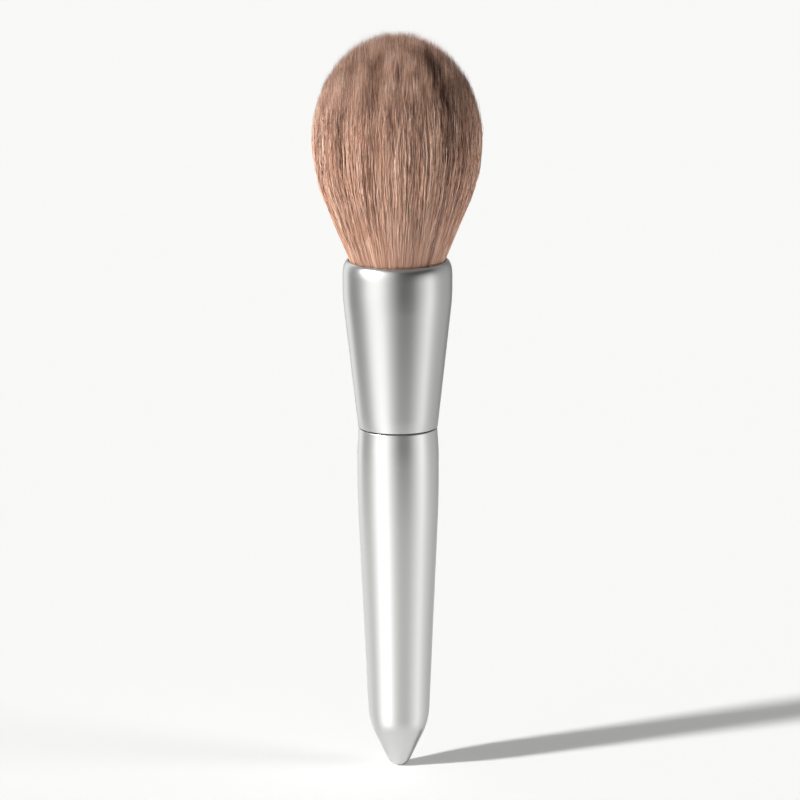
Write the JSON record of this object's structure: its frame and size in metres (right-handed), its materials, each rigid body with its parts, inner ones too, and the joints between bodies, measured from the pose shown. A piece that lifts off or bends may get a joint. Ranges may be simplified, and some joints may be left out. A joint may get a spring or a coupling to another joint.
{
  "type": "powder brush",
  "caption": "Powder brush: a domed tuft of soft synthetic fibre in a flared satin metal ferrule, on a slim metal handle that closes in a bullet point.",
  "frame": {"origin": "tip of the handle's bullet point, on the brush's axis", "axes": "+Z along the brush's axis from the handle's tip to the top of the hair; the brush is round about Z, and its front in the picture faces -Y"},
  "size_m": [0.0406, 0.0405, 0.178],
  "materials": {
    "synthetic_fibre": "very fine tapered polyester fibre, pinkish tan with darker streaks",
    "tying_thread": "plain undyed thread",
    "root_epoxy": "clear amber cast resin",
    "satin_aluminium": "fine bead-blasted and clear anodised, satin",
    "sleeve_plastic": "plain moulded",
    "core_plastic": "plain moulded"
  },
  "bodies": {
    "root": {"bristle_tuft": "synthetic_fibre", "root_thread": "tying_thread", "root_resin": "root_epoxy", "ferrule": "satin_aluminium", "ferrule_sleeve": "sleeve_plastic", "handle_core": "core_plastic", "handle_shell": "satin_aluminium"}
  },
  "joints": []
}
